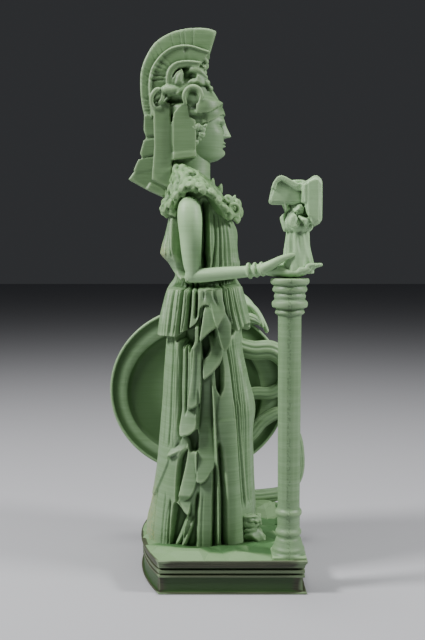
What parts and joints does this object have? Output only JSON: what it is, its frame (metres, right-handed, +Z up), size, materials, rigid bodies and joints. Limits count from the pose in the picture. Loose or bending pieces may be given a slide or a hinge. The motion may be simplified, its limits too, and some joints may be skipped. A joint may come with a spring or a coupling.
{
  "type": "athena statue",
  "caption": "Standing classical Athena with crested helmet, collar, pleated gown, shield and snake, headless winged Victory on a column, on a moulded plinth; a printed plastic souvenir.",
  "frame": {"origin": "middle of the plinth's flat underside, halfway between its sides and between its front lip and its back corners", "axes": "+Z up; the figure faces -Y; her right hand, the column and the Victory are at -X and the shield at +X"},
  "size_m": [0.078, 0.08, 0.2012],
  "materials": {
    "green_pla": "matte sage green printed plastic with fine level layer lines"
  },
  "bodies": {
    "root": {"athena_statue": "green_pla"}
  },
  "joints": []
}
